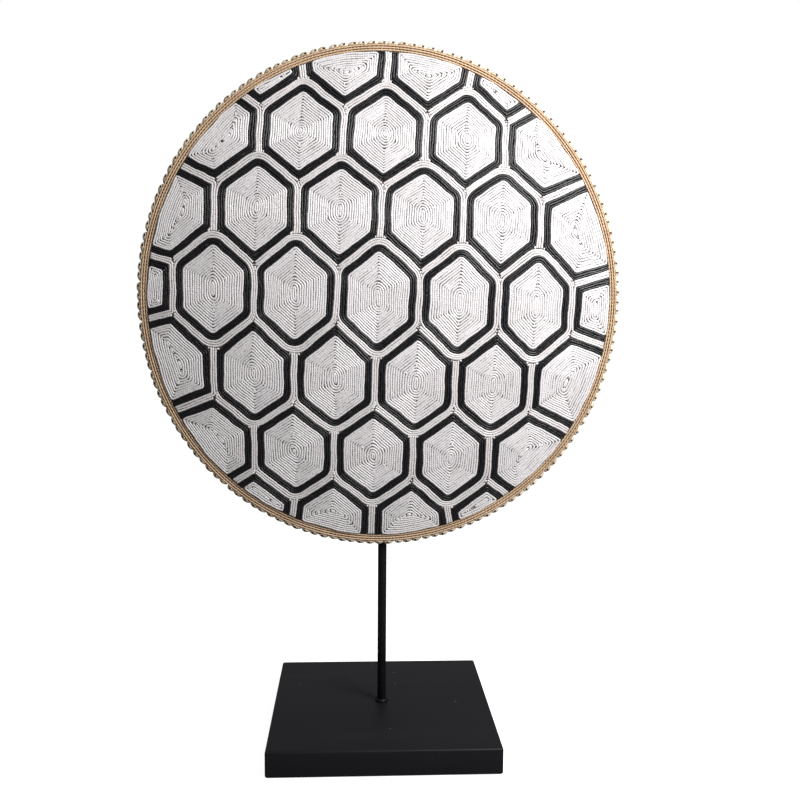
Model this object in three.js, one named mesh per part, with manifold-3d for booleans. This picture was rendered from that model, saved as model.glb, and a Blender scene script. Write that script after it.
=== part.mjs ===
// A beaded shield on its stand: a shallow domed disc covered with white and black seed beads in a
// honeycomb pattern, bound with three fibre cords and an edging of small shells, on a black rod that
// stands in a square black base. Millimetres, +Z up, front towards -Y, origin on the floor under
// the middle of the shield.
import * as THREE from "three";
import { TessellateModifier } from "three/addons/modifiers/TessellateModifier.js";
import { mergeVertices } from "three/addons/utils/BufferGeometryUtils.js";
import Module from "manifold-3d";

const wasm = await Module();
wasm.setup();

// Clearance between touching pieces
const GAP = 0.3;

// Base block
const BASE_SIDE = 225;
const BASE_HEIGHT = 26;
const BASE_CORNER_RADIUS = 2;
const BASE_CHAMFER = 0.8;
const SOCKET_DEPTH = 20;

// How far the stand is to the right of the shield's middle
const STAND_OFFSET = 3;

// Rod and the collar at its foot
const ROD_RADIUS = 4.5;
const ROD_TOP = 682;
const ROD_SIDES = 16;
const COLLAR_RADIUS = 6.7;
const COLLAR_TOP_RADIUS = 5.9;
const COLLAR_HEIGHT = 3;

// Shield: an upright oval, measured over the crowns of the shells
const SHIELD_CENTRE_HEIGHT = 448.5;
const SHIELD_HALF_WIDTH = 242.5;
const SHIELD_HALF_HEIGHT = 251.5;
const DOME_RISE = 26;
const RING_SEGMENTS = 48;
const LONGEST_DOMED_EDGE = 60;

// Layers from the back of the shield to its front, before it is domed
const BACKING_INSET = 4;
const BACKING_THICKNESS = 5;
const BACKING_RINGS = 4;
const BEAD_LAYER_INSET = 11.5;
const BEAD_LAYER_THICKNESS = 3.2;
const GROUND_CLOTH_THICKNESS = 0.6;

// Edge cords, side by side on the rim of the backing
const CORD_NAMES = ["outer", "middle", "inner"];
const CORD_DIAMETER = 2.2;
const CORD_PITCH = 2.5;
const CORD_SIDES = 4;

// Shell edging
const SHELL_COUNT = 156;
const SHELL_BACK = 1.2;
const SHELL_CROWN_THICKNESS = 5.4;
const SHELL_VALLEY_THICKNESS = 3;
const SHELL_VALLEY_DEPTH = 3.2;
const SHELL_ROOT_INSET = BACKING_INSET - GAP;

// Honeycomb: rows of 4, 5, 6, 7, 6, 5 and 4 cells, the outer ones cut by the rim
const MIDDLE_ROW = 4;
const MIDDLE_ROW_CELLS = 7;
const CELL_PITCH = 80.6;
const MIDDLE_ROW_GAP = 84.4;
const OUTER_ROW_GAP = 73.5;
const CORNER_SHARE = 0.703;
const PATTERN_CENTRE = new THREE.Vector2(-3.5, 0.5);
const ROW_TILT = THREE.MathUtils.degToRad(-2.6);
const COLUMN_LEAN = THREE.MathUtils.degToRad(1.8);
const DIVIDER_WIDTH = 6.6;
const OUTLINE_WIDTH = 6.8;
const RIM_DIVIDER_REACH = 90;
const RIM_DIVIDER_SPREAD = 0.8;
const ROUND_CORNER_RADIUS = 15;
const ROUND_CORNER_STEPS = 1;

// The pattern was laid by hand: how far it has strayed from an even honeycomb at this distance
const STRAY_DISTANCE = 240;
const COLUMN_FAN = 5;
const COLUMN_BOW = 2;
const LEFTWARD_DRIFT = 5;
const SIDE_CROWDING = 6;
const CORNER_CROWDING = 5;
const ROW_CROWDING = 11;

// Colours
const BLACK_PAINT = { color: 0x27272b, roughness: 0.6, metalness: 0 };
const BLACK_STEEL = { color: 0x151518, roughness: 0.45, metalness: 0.2 };
const WHITE_BEADS = { color: 0xdedad4, roughness: 0.35, metalness: 0 };
const BLACK_BEADS = { color: 0x1b1b1e, roughness: 0.3, metalness: 0 };
const TAN_FIBRE = { color: 0xb08f66, roughness: 0.85, metalness: 0 };
const CANE = { color: 0x9c7a50, roughness: 0.8, metalness: 0 };
const SHELL = { color: 0xb49a74, roughness: 0.5, metalness: 0 };

// Solids

function solidOf(geometry) {
  const bare = geometry.clone();
  bare.deleteAttribute("normal");
  bare.deleteAttribute("uv");
  const merged = mergeVertices(bare);
  return new wasm.Manifold(
    new wasm.Mesh({
      numProp: 3,
      vertProperties: merged.attributes.position.array,
      triVerts: new Uint32Array(merged.index.array),
    }),
  );
}

function geometryOf(solid) {
  const mesh = solid.getMesh();
  const geometry = new THREE.BufferGeometry();
  geometry.setAttribute("position", new THREE.BufferAttribute(mesh.vertProperties, mesh.numProp));
  geometry.setIndex(new THREE.BufferAttribute(mesh.triVerts, 1));
  return geometry;
}

function namedMesh(name, geometry, finish) {
  geometry.computeVertexNormals();
  const mesh = new THREE.Mesh(geometry, new THREE.MeshStandardMaterial(finish));
  mesh.name = name;
  return mesh;
}

// Every layer of the shield is made flat, seen from the front, and then domed by this rise.
function domeRise(x, y) {
  const across = x / SHIELD_HALF_WIDTH;
  const up = y / SHIELD_HALF_HEIGHT;
  return DOME_RISE * (1 - across * across - up * up);
}

function lifted(geometry) {
  const position = geometry.attributes.position;
  for (let i = 0; i < position.count; i += 1) {
    position.setZ(i, position.getZ(i) + domeRise(position.getX(i), position.getY(i)));
  }
  return geometry;
}

// Long flat edges are split first, so that a wide flat face follows the dome.
function domed(geometry) {
  const bare = geometry.clone();
  bare.deleteAttribute("normal");
  bare.deleteAttribute("uv");
  const passes = 10;
  const fine = new TessellateModifier(LONGEST_DOMED_EDGE, passes).modify(bare);
  return mergeVertices(lifted(fine));
}

// A disc whose edge lies this far inside the crowns of the shells: the section is turned about the
// axis and drawn in sideways to the oval.
function ovalDisc(section, inset) {
  const geometry = new THREE.LatheGeometry(section, RING_SEGMENTS);
  geometry.rotateX(Math.PI / 2);
  geometry.scale((SHIELD_HALF_WIDTH - inset) / (SHIELD_HALF_HEIGHT - inset), 1, 1);
  return geometry;
}

// A closed ring round the shield. Each section is a loop of corners, each given by how far it lies
// inside the crowns of the shells and how high, in order from the outer back round to the front.
function ovalRing(count, sectionAt) {
  const vertices = [];
  const index = [];
  for (let n = 0; n < count; n += 1) {
    const angle = (2 * Math.PI * n) / count;
    const section = sectionAt(n);
    const here = n * section.length;
    const next = ((n + 1) % count) * section.length;
    section.forEach(([inset, height], side) => {
      const other = (side + 1) % section.length;
      const x = (SHIELD_HALF_WIDTH - inset) * Math.cos(angle);
      const y = (SHIELD_HALF_HEIGHT - inset) * Math.sin(angle);
      vertices.push(x, y, height + domeRise(x, y));
      index.push(here + side, next + side, next + other);
      index.push(here + side, next + other, here + other);
    });
  }
  const geometry = new THREE.BufferGeometry();
  geometry.setAttribute("position", new THREE.Float32BufferAttribute(vertices, 3));
  geometry.setIndex(index);
  return geometry;
}

// Base and rod

function base() {
  const half = BASE_SIDE / 2 - BASE_CHAMFER;
  const turn = half - BASE_CORNER_RADIUS;
  const outline = new THREE.Shape();
  outline.absarc(turn, turn, BASE_CORNER_RADIUS, 0, Math.PI / 2);
  outline.absarc(-turn, turn, BASE_CORNER_RADIUS, Math.PI / 2, Math.PI);
  outline.absarc(-turn, -turn, BASE_CORNER_RADIUS, Math.PI, 1.5 * Math.PI);
  outline.absarc(turn, -turn, BASE_CORNER_RADIUS, 1.5 * Math.PI, 2 * Math.PI);
  const block = new THREE.ExtrudeGeometry(outline, {
    depth: BASE_HEIGHT - 2 * BASE_CHAMFER,
    bevelThickness: BASE_CHAMFER,
    bevelSize: BASE_CHAMFER,
    bevelSegments: 1,
    curveSegments: 2,
  });
  block.translate(0, 0, BASE_CHAMFER);
  const socketRadius = ROD_RADIUS + GAP;
  const socket = new THREE.CylinderGeometry(socketRadius, socketRadius, 2 * SOCKET_DEPTH, ROD_SIDES);
  socket.rotateX(Math.PI / 2);
  socket.translate(0, 0, BASE_HEIGHT);
  return namedMesh("base", geometryOf(solidOf(block).subtract(solidOf(socket))), BLACK_PAINT);
}

function rod() {
  const foot = BASE_HEIGHT - SOCKET_DEPTH + GAP;
  const length = ROD_TOP - foot;
  const geometry = new THREE.CylinderGeometry(ROD_RADIUS, ROD_RADIUS, length, ROD_SIDES);
  geometry.rotateX(Math.PI / 2);
  const mesh = namedMesh("rod", geometry, BLACK_STEEL);
  mesh.position.z = foot + length / 2;
  return mesh;
}

function footCollar() {
  const inner = ROD_RADIUS + GAP;
  const section = [
    new THREE.Vector2(inner, 0),
    new THREE.Vector2(COLLAR_RADIUS, 0),
    new THREE.Vector2(COLLAR_RADIUS, COLLAR_HEIGHT / 2),
    new THREE.Vector2(COLLAR_TOP_RADIUS, COLLAR_HEIGHT),
    new THREE.Vector2(inner, COLLAR_HEIGHT),
    new THREE.Vector2(inner, 0),
  ];
  const geometry = new THREE.LatheGeometry(section, ROD_SIDES);
  geometry.rotateX(Math.PI / 2);
  const mesh = namedMesh("foot_collar", geometry, BLACK_STEEL);
  mesh.position.z = BASE_HEIGHT + GAP;
  return mesh;
}

// Honeycomb. A cell is told by its place in the row, in cells from the middle, and its row,
// counted upwards from the middle row.

function cellsInRow(up) {
  return MIDDLE_ROW_CELLS - Math.abs(up);
}

function isCell(along, up) {
  return Math.abs(up) < MIDDLE_ROW && Math.abs(along) <= (cellsInRow(up) - 1) / 2;
}

function cellCentre(along, up) {
  const rows = Math.abs(up);
  const gaps = Math.min(rows, 1) * MIDDLE_ROW_GAP + Math.max(rows - 1, 0) * OUTER_ROW_GAP;
  const rise = Math.sign(up) * gaps;
  const x = along * CELL_PITCH * Math.cos(ROW_TILT) + rise * Math.tan(COLUMN_LEAN);
  const y = along * CELL_PITCH * Math.sin(ROW_TILT) + rise;
  return new THREE.Vector2(x, y).add(PATTERN_CENTRE);
}

// The six neighbours, anticlockwise from the right; corner k lies between neighbours k and k + 1.
const NEIGHBOURS = [
  [1, 0],
  [0.5, 1],
  [-0.5, 1],
  [-1, 0],
  [-0.5, -1],
  [0.5, -1],
];

function neighbour(cell, k) {
  const step = NEIGHBOURS[(k + 6) % 6];
  return { along: cell.along + step[0], up: cell.up + step[1] };
}

function handLaid(point) {
  const u = point.x / STRAY_DISTANCE;
  const v = point.y / STRAY_DISTANCE;
  const strayed = COLUMN_FAN * u * v + COLUMN_BOW * v * v - LEFTWARD_DRIFT * u * u;
  const crowded = SIDE_CROWDING * u * u * u + CORNER_CROWDING * u * v * v;
  return new THREE.Vector2(point.x + strayed - crowded, point.y - ROW_CROWDING * u * u * v);
}

// Two of the three cells round a corner lie in one row. The corner lies on the way from the third
// one's centre to the middle between them.
function cornerOf(cell, k) {
  const around = [cell, neighbour(cell, k), neighbour(cell, k + 1)];
  const third = around.find((c) => around.filter((other) => other.up === c.up).length === 1);
  const [a, b] = around.filter((c) => c !== third).map((c) => cellCentre(c.along, c.up));
  const between = a.add(b).multiplyScalar(1 / 2);
  const point = handLaid(cellCentre(third.along, third.up).lerp(between, CORNER_SHARE));
  return { point, inside: around.every((c) => isCell(c.along, c.up)), k: (k + 6) % 6 };
}

// A divider that runs out to the rim turns half-way towards the radius there, and the slanted
// ones also spread a little sideways.
function rimEnd(from, latticeEnd) {
  const lattice = latticeEnd.clone().sub(from).normalize();
  const radial = from.clone().normalize();
  const direction = lattice.clone().add(radial);
  const slanted = Math.abs(lattice.x) > 0.5;
  if (slanted) direction.x += RIM_DIVIDER_SPREAD * Math.sign(lattice.x);
  return from.clone().addScaledVector(direction.normalize(), RIM_DIVIDER_REACH);
}

// The corners of a cell: a whole cell has six, and a cell at the rim has its inner corners and the
// two points where its dividers have left the shield.
function cellCorners(cell) {
  const corners = [0, 1, 2, 3, 4, 5].map((k) => cornerOf(cell, k));
  if (corners.every((c) => c.inside)) return corners;
  const first = corners.findIndex((c, k) => c.inside && !corners[(k + 5) % 6].inside);
  const chain = [];
  for (let n = 0; corners[(first + n) % 6].inside; n += 1) chain.push(corners[(first + n) % 6]);
  const last = chain[chain.length - 1];
  const before = rimEnd(chain[0].point, corners[(first + 5) % 6].point);
  const after = rimEnd(last.point, cornerOf(cell, last.k + 1).point);
  return [{ point: before, k: -1 }, ...chain, { point: after, k: -1 }];
}

// Corners 0, 1 and 2 face up and 3, 4 and 5 face down. The dividers run on round the side of a
// whole cell that faces away from the middle row, and round both sides of one in the middle row.
// All other corners are sharp, and so are those of the cells that the rim cuts.
function isRoundCorner(cell, k) {
  if (k < 0) return false;
  const facesUp = k < 3;
  const isWhole = Math.abs(cell.along) < (cellsInRow(cell.up) - 1) / 2;
  return isWhole && (cell.up === 0 || facesUp === cell.up > 0);
}

function insetCorners(corners, distance) {
  const count = corners.length;
  return corners.map((corner, n) => {
    const before = corners[(n + count - 1) % count].point;
    const after = corners[(n + 1) % count].point;
    const arriving = corner.point.clone().sub(before).normalize();
    const leaving = after.clone().sub(corner.point).normalize();
    const turn = Math.atan2(arriving.cross(leaving), arriving.dot(leaving));
    const inwards = new THREE.Vector2(-arriving.y - leaving.y, arriving.x + leaving.x).normalize();
    const point = corner.point.clone().addScaledVector(inwards, distance / Math.cos(turn / 2));
    return { point, k: corner.k, arriving, leaving, turn };
  });
}

function cellLoop(cell, distance) {
  const radius = ROUND_CORNER_RADIUS - distance;
  const points = [];
  insetCorners(cellCorners(cell), distance).forEach((corner) => {
    if (!isRoundCorner(cell, corner.k)) {
      points.push(corner.point);
      return;
    }
    const setback = radius * Math.tan(corner.turn / 2);
    const start = corner.point.clone().addScaledVector(corner.arriving, -setback);
    const sideways = new THREE.Vector2(-corner.arriving.y, corner.arriving.x);
    const centre = start.clone().addScaledVector(sideways, radius);
    for (let step = 0; step <= ROUND_CORNER_STEPS; step += 1) {
      points.push(start.clone().rotateAround(centre, (corner.turn * step) / ROUND_CORNER_STEPS));
    }
  });
  return points;
}

function prism(points, bottom, top) {
  const size = { depth: top - bottom, bevelEnabled: false };
  const geometry = new THREE.ExtrudeGeometry(new THREE.Shape(points), size);
  geometry.translate(0, 0, bottom);
  return solidOf(geometry);
}

function band(cell, outerInset, innerInset, bottom, top) {
  const margin = 1;
  const whole = prism(cellLoop(cell, outerInset), bottom, top);
  return whole.subtract(prism(cellLoop(cell, innerInset), bottom - margin, top + margin));
}

function beadDisc(bottom, top) {
  const radius = SHIELD_HALF_HEIGHT - BEAD_LAYER_INSET;
  const section = [
    new THREE.Vector2(0, bottom),
    new THREE.Vector2(radius, bottom),
    new THREE.Vector2(radius, top),
    new THREE.Vector2(0, top),
  ];
  return solidOf(ovalDisc(section, BEAD_LAYER_INSET));
}

function beadwork() {
  const bottom = BACKING_THICKNESS + GAP;
  const top = bottom + BEAD_LAYER_THICKNESS;
  const grooveFloor = bottom + GROUND_CLOTH_THICKNESS;
  const outlineBottom = grooveFloor + GAP;
  const overshoot = 5;
  const halfDivider = DIVIDER_WIDTH / 2;
  const innerEdge = halfDivider + OUTLINE_WIDTH;
  let white = beadDisc(bottom, top);
  const blackField = beadDisc(outlineBottom, top);
  const meshes = [];
  for (let up = MIDDLE_ROW - 1; up > -MIDDLE_ROW; up -= 1) {
    for (let column = 1; column <= cellsInRow(up); column += 1) {
      const cell = { along: column - (cellsInRow(up) + 1) / 2, up };
      const outline = band(cell, halfDivider, innerEdge, outlineBottom - GAP / 2, top + overshoot);
      white = white.subtract(band(cell, halfDivider - GAP, innerEdge + GAP, grooveFloor, top + overshoot));
      const name = `outline_row${MIDDLE_ROW - up}_cell${column}`;
      meshes.push(namedMesh(name, domed(geometryOf(blackField.intersect(outline))), BLACK_BEADS));
    }
  }
  return [namedMesh("white_beadwork", domed(geometryOf(white)), WHITE_BEADS), ...meshes];
}

// Backing, cords and edging

function backing() {
  const radius = SHIELD_HALF_HEIGHT - BACKING_INSET;
  const section = [];
  for (let n = 0; n <= BACKING_RINGS; n += 1) {
    section.push(new THREE.Vector2((radius * n) / BACKING_RINGS, 0));
  }
  for (let n = BACKING_RINGS; n >= 0; n -= 1) {
    section.push(new THREE.Vector2((radius * n) / BACKING_RINGS, BACKING_THICKNESS));
  }
  const disc = ovalDisc(section, BACKING_INSET);
  disc.deleteAttribute("normal");
  disc.deleteAttribute("uv");
  return namedMesh("backing", mergeVertices(lifted(disc)), CANE);
}

function edgeCord(name, order) {
  const radius = CORD_DIAMETER / 2;
  const inset = BACKING_INSET + radius + CORD_PITCH * order;
  const height = BACKING_THICKNESS + GAP + radius;
  const section = [];
  for (let n = 0; n < CORD_SIDES; n += 1) {
    const angle = (2 * Math.PI * n) / CORD_SIDES;
    section.push([inset - radius * Math.cos(angle), height + radius * Math.sin(angle)]);
  }
  return namedMesh(`edge_cord_${name}`, ovalRing(RING_SEGMENTS, () => section), TAN_FIBRE);
}

// The shells touch each other, so they are one ring, with a section at each crown and each valley.
function shellEdging() {
  const middle = SHELL_BACK + SHELL_CROWN_THICKNESS / 2;
  const section = (tip, half) => [
    [tip, middle],
    [SHELL_ROOT_INSET, middle + half],
    [SHELL_ROOT_INSET, middle - half],
  ];
  const crown = section(0, SHELL_CROWN_THICKNESS / 2);
  const valley = section(SHELL_VALLEY_DEPTH, SHELL_VALLEY_THICKNESS / 2);
  return namedMesh("shell_edging", ovalRing(2 * SHELL_COUNT, (n) => (n % 2 === 0 ? crown : valley)), SHELL);
}

// The whole object

const shield = new THREE.Group();
shield.rotation.x = Math.PI / 2;
shield.position.set(0, -ROD_RADIUS, SHIELD_CENTRE_HEIGHT);
shield.add(backing(), ...beadwork(), shellEdging());
CORD_NAMES.forEach((name, order) => shield.add(edgeCord(name, order)));

const stand = new THREE.Group();
stand.position.x = STAND_OFFSET;
stand.add(base(), rod(), footCollar());

const object = new THREE.Group();
object.add(stand, shield);

export default object;
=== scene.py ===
"""Looks of a beaded shield on its stand. Laid out as an add-on, and run as a script."""

import math

import bpy
import numpy as np
from bpy.props import FloatProperty, FloatVectorProperty, IntProperty, PointerProperty
from mathutils import Matrix, Vector
from mathutils.kdtree import KDTree


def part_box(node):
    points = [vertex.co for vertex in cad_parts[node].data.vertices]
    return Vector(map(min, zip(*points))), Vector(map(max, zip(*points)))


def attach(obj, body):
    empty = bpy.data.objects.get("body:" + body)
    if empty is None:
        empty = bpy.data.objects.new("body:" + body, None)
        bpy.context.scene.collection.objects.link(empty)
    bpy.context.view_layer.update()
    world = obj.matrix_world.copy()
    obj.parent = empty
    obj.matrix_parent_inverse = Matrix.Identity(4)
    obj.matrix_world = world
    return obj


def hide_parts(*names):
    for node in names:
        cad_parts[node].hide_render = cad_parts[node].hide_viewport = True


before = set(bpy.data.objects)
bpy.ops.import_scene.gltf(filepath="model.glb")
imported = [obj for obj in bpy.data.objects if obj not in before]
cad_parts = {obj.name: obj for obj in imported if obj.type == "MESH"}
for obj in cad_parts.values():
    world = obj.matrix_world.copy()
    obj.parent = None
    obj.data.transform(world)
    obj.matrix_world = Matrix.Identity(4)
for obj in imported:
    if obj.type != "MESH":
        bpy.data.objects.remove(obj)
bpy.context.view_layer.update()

bl_info = {
    "name": "Beaded Shield on a Stand",
    "version": (1, 0, 0),
    "blender": (4, 5, 0),
    "location": "View3D > Sidebar > Shield",
    "description": "Beadwork, cords, shells, backing and stand of a beaded shield",
    "category": "Add Mesh",
}

BODY = "root"
MM = 0.001
SEED = 41

# Heights of the shield's layers over its back, before it is domed
BACKING_THICKNESS = 5.0 * MM
CLOTH_BOTTOM = 5.3 * MM
CLOTH_TOP = 6.7 * MM
BEAD_CENTRE = 7.5 * MM
CORD_CENTRE = 6.4 * MM
SHELL_CENTRE = 4.3 * MM

# The beads of one row press against the next: their width as a share of the distance of the rows
ROW_OVERLAP = 1.16

# The black rows are fuller and are laid less evenly than the white ones
BLACK_ROW_OVERLAP = 1.18
BLACK_LOOSENESS = 2.4

# A point of a field farther than this from every row is in a hole
FILLED_HOLE = 1.45 * MM

# No field is deeper than this, and a string that turns a sharp corner bends this tightly
DEEPEST_FIELD = 60 * MM
SHARP_BEND = 1.2 * MM

# Strings that run out to the rim end this far inside the edge of the beadwork
RIM_CLEARANCE = 0.3 * MM

# Cane of the backing: width of a coil, depth of the crevice between two, and points on each
COIL_WIDTH = 6.4 * MM
COIL_DEPTH = 1.5 * MM
COIL_POINTS = 5

# An edge cord's plies: thickness and sway as shares of the cord, points on each turn and round a ply
PLY_SHARE = 0.38
PLY_SWAY = 0.12
POINTS_PER_TURN = 8
PLY_SECTION = 6

# A shell: its place inside the crowns, its size, and the direction and spread of its mouth
SHELL_ROOT = 3.5 * MM
SHELL_HALF_LENGTH = 5.3 * MM
SHELL_BREADTH = 3.5 * MM
SHELL_HALF_DEPTH = 2.9 * MM
MOUTH_DIRECTION = (0.34, 0.52, 0.78)
MOUTH_SPREAD = 0.43

# Honeycomb: rows of 4, 5, 6, 7, 6, 5 and 4 cells, and the six neighbours anticlockwise from the right
MIDDLE_ROW = 4
MIDDLE_ROW_CELLS = 7
NEIGHBOURS = ((1, 0), (0.5, 1), (-0.5, 1), (-1, 0), (-0.5, -1), (0.5, -1))
RIM_REACH = 90 * MM
RIM_SPREAD = 0.8

# The pattern was laid by hand: how far it has strayed from an even honeycomb at this distance
STRAY_DISTANCE = 240 * MM
COLUMN_FAN = 5 * MM
COLUMN_BOW = 2 * MM
LEFTWARD_DRIFT = 5 * MM
SIDE_CROWDING = 6 * MM
CORNER_CROWDING = 5 * MM
ROW_CROWDING = 11 * MM

# Stage: the key light, the floor as other rays see it, and the camera's place and turn in degrees
KEY_SIZE = 0.5
KEY_PLACE = (0.6, -0.62, 0.92)
KEY_TARGET = (0.0, 0, 0.45)
FLOOR_TO_LIGHT = (0.25, 0.25, 0.25, 1)
CAMERA_PLACE = (-0.02625, -0.947, 0.4362)
CAMERA_YAW = -2.82
CAMERA_PITCH = 5.47
CAMERA_ROLL = 0.40


def length(name, default, description):
    """A property for a length in metres."""
    return FloatProperty(name=name, description=description, default=default, unit="LENGTH", subtype="DISTANCE")


def colour(name, default, description):
    """A property for a linear colour."""
    return FloatVectorProperty(name=name, description=description, default=default, size=3, min=0, max=1,
                               subtype="COLOR")


def node_box(node):
    """Lowest and highest corner of a CAD node."""
    low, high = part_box(node)
    return np.array(low), np.array(high)


class ShieldSizes(bpy.types.PropertyGroup):
    """Sizes of the shield, its honeycomb and its edging."""

    half_width: length("Half width", 242.5 * MM, "Over the crowns of the shells")
    half_height: length("Half height", 251.5 * MM, "Over the crowns of the shells")
    centre_height: length("Centre height", 448.5 * MM, "Height of the shield's centre over the floor")
    back: length("Back", -4.5 * MM, "Place of the shield's rim along Y")
    dome_rise: length("Dome rise", 26 * MM, "How far the middle stands in front of the rim")
    bead_inset: length("Bead inset", 11.5 * MM, "Edge of the beadwork inside the crowns of the shells")
    backing_inset: length("Backing inset", 4 * MM, "Edge of the backing inside the crowns of the shells")
    cell_pitch: length("Cell pitch", 80.6 * MM, "Distance of the cells in a row")
    middle_row_gap: length("Middle row gap", 84.4 * MM, "Height between the middle row and the next ones")
    outer_row_gap: length("Outer row gap", 73.5 * MM, "Height between the outer rows")
    corner_share: FloatProperty(name="Corner share", default=0.703, min=0.5, max=0.9,
                                description="Place of a corner between a cell's centre and the next row's")
    pattern_x: length("Pattern across", -3.5 * MM, "Centre of the honeycomb across the shield")
    pattern_y: length("Pattern up", 0.5 * MM, "Centre of the honeycomb up the shield")
    row_tilt: FloatProperty(name="Row tilt", description="Slope of the rows", default=math.radians(-2.6),
                            subtype="ANGLE")
    column_lean: FloatProperty(name="Column lean", description="Lean of the columns", default=math.radians(1.8),
                               subtype="ANGLE")
    divider_width: length("Divider width", 6.6 * MM, "Three rows of white beads between the cells")
    outline_width: length("Outline width", 6.8 * MM, "Three rows of black beads round a cell")
    corner_radius: length("Corner radius", 15 * MM, "Rounding of a divider that runs over a cell")
    cord_diameter: length("Cord diameter", 2.2 * MM, "Thickness of an edge cord")
    cord_pitch: length("Cord pitch", 2.5 * MM, "Distance of the edge cords")
    cord_twist: length("Cord twist", 7.6 * MM, "Length of one turn of an edge cord's two plies")
    shell_count: IntProperty(name="Shell count", description="Shells sewn round the edge", default=156)


class BeadSizes(bpy.types.PropertyGroup):
    """Sizes of the beads and how evenly they are strung."""

    row_pitch: length("Row pitch", 2.22 * MM, "Distance of the rows in a field")
    bead_length: length("Bead length", 2.15 * MM, "Length of one bead along its string")
    half_depth: length("Half depth", 0.7 * MM, "Half the depth of a bead")
    waist: FloatProperty(name="Waist", description="Thickness of a string between two beads, as a share",
                         default=0.94, min=0.1, max=1)
    wander: length("Wander", 0.15 * MM, "How far a row strays from its line")
    wave: length("Wave", 0.55 * MM, "How far whole bands of rows stray from their lines")


class ShieldColours(bpy.types.PropertyGroup):
    """Colours of the finishes."""

    white_beads: colour("White beads", (0.78, 0.75, 0.76), "Beads of the fields")
    divider_beads: colour("Divider beads", (0.74, 0.71, 0.71), "Beads of the dividers")
    black_beads: colour("Black beads", (0.005, 0.005, 0.0065), "Beads of the outlines")
    felt: colour("Felt", (0.17, 0.14, 0.13), "Ground cloth under the beads")
    fibre: colour("Fibre", (0.58, 0.42, 0.28), "Edge cords")
    shell: colour("Shell", (0.64, 0.50, 0.35), "Shells of the edging")
    # painted shade inside the shells' mouths
    shell_mouth_shade: colour("Shell mouth", (0.05, 0.024, 0.013), "Mouths of the shells")
    cane: colour("Cane", (0.40, 0.25, 0.13), "Coiled backing")
    paint: colour("Paint", (0.0075, 0.007, 0.0095), "Base block")
    steel: colour("Steel", (0.004, 0.004, 0.005), "Rod and its collar")
    floor: colour("Floor", (0.93, 0.93, 0.93), "Studio floor")


class StandSizes(bpy.types.PropertyGroup):
    """Sizes of the base, the rod and the collar."""

    offset: length("Offset", 3 * MM, "Place of the stand to the right of the shield's middle")
    base_side: length("Base side", 225 * MM, "Side of the square base")
    base_height: length("Base height", 26 * MM, "Height of the base")
    base_corner: length("Base corner", 2.4 * MM, "Rounding of the upright edges")
    base_edge: length("Base edge", 0.9 * MM, "Rounding of the flat edges")
    rod_radius: length("Rod radius", 4.5 * MM, "Radius of the rod")
    collar_radius: length("Collar radius", 6.7 * MM, "Radius of the collar at its foot")
    collar_height: length("Collar height", 3 * MM, "Height of the collar")


class StageSettings(bpy.types.PropertyGroup):
    """Camera and lights."""

    lens: FloatProperty(name="Lens", description="Focal length in millimetres", default=41.76)
    key_power: FloatProperty(name="Key light", description="Power of the light at the upper right",
                             default=16.5, unit="POWER")
    world_strength: FloatProperty(name="Surroundings", description="Light that the surroundings give",
                                  default=0.22)
    floor_glow: FloatProperty(name="Floor glow", description="How much paler the floor looks than it lights",
                              default=0.85)


# The shield's own shape. Its face is worked out flat, as seen from the front, and then domed.


def on_dome(sizes, flat, height):
    """World points for flat points of the shield at a height over its back."""
    flat = np.asarray(flat)
    falling = 1 - (flat[..., 0] / sizes.half_width) ** 2 - (flat[..., 1] / sizes.half_height) ** 2
    rise = sizes.dome_rise * falling
    return np.stack([flat[..., 0], sizes.back - height - rise, sizes.centre_height + flat[..., 1]], -1)


def oval(sizes, inset, count):
    """Points of the oval that lies this far inside the crowns of the shells."""
    angle = np.linspace(0, 2 * math.pi, count, endpoint=False)
    return np.stack([(sizes.half_width - inset) * np.cos(angle),
                     (sizes.half_height - inset) * np.sin(angle)], -1)


def inside_oval(sizes, points, inset):
    """Which flat points lie inside the oval at this inset."""
    across = points[..., 0] / (sizes.half_width - inset)
    up = points[..., 1] / (sizes.half_height - inset)
    return across * across + up * up <= 1


# The honeycomb. A cell is told by its place along its row and its row, counted upwards from the middle.


def cells_in_row(up):
    return MIDDLE_ROW_CELLS - abs(up)


def is_cell(cell):
    return abs(cell[1]) < MIDDLE_ROW and abs(cell[0]) <= (cells_in_row(cell[1]) - 1) / 2


def all_cells():
    """Every cell with its row from the top and its column from the left."""
    for up in range(MIDDLE_ROW - 1, -MIDDLE_ROW, -1):
        for column in range(1, cells_in_row(up) + 1):
            yield MIDDLE_ROW - up, column, (column - (cells_in_row(up) + 1) / 2, up)


def cell_centre(sizes, cell):
    along, up = cell
    rows = abs(up)
    rise = min(rows, 1) * sizes.middle_row_gap + max(rows - 1, 0) * sizes.outer_row_gap
    rise *= 1 if up >= 0 else -1
    x = along * sizes.cell_pitch * math.cos(sizes.row_tilt) + rise * math.tan(sizes.column_lean)
    y = along * sizes.cell_pitch * math.sin(sizes.row_tilt) + rise
    return np.array([x + sizes.pattern_x, y + sizes.pattern_y])


def neighbour(cell, k):
    step = NEIGHBOURS[k % 6]
    return (cell[0] + step[0], cell[1] + step[1])


def hand_laid(point):
    """Where a corner of the even honeycomb came to lie."""
    u, v = point / STRAY_DISTANCE
    strayed = COLUMN_FAN * u * v + COLUMN_BOW * v * v - LEFTWARD_DRIFT * u * u
    crowded = SIDE_CROWDING * u ** 3 + CORNER_CROWDING * u * v * v
    return np.array([point[0] + strayed - crowded, point[1] - ROW_CROWDING * u * u * v])


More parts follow.
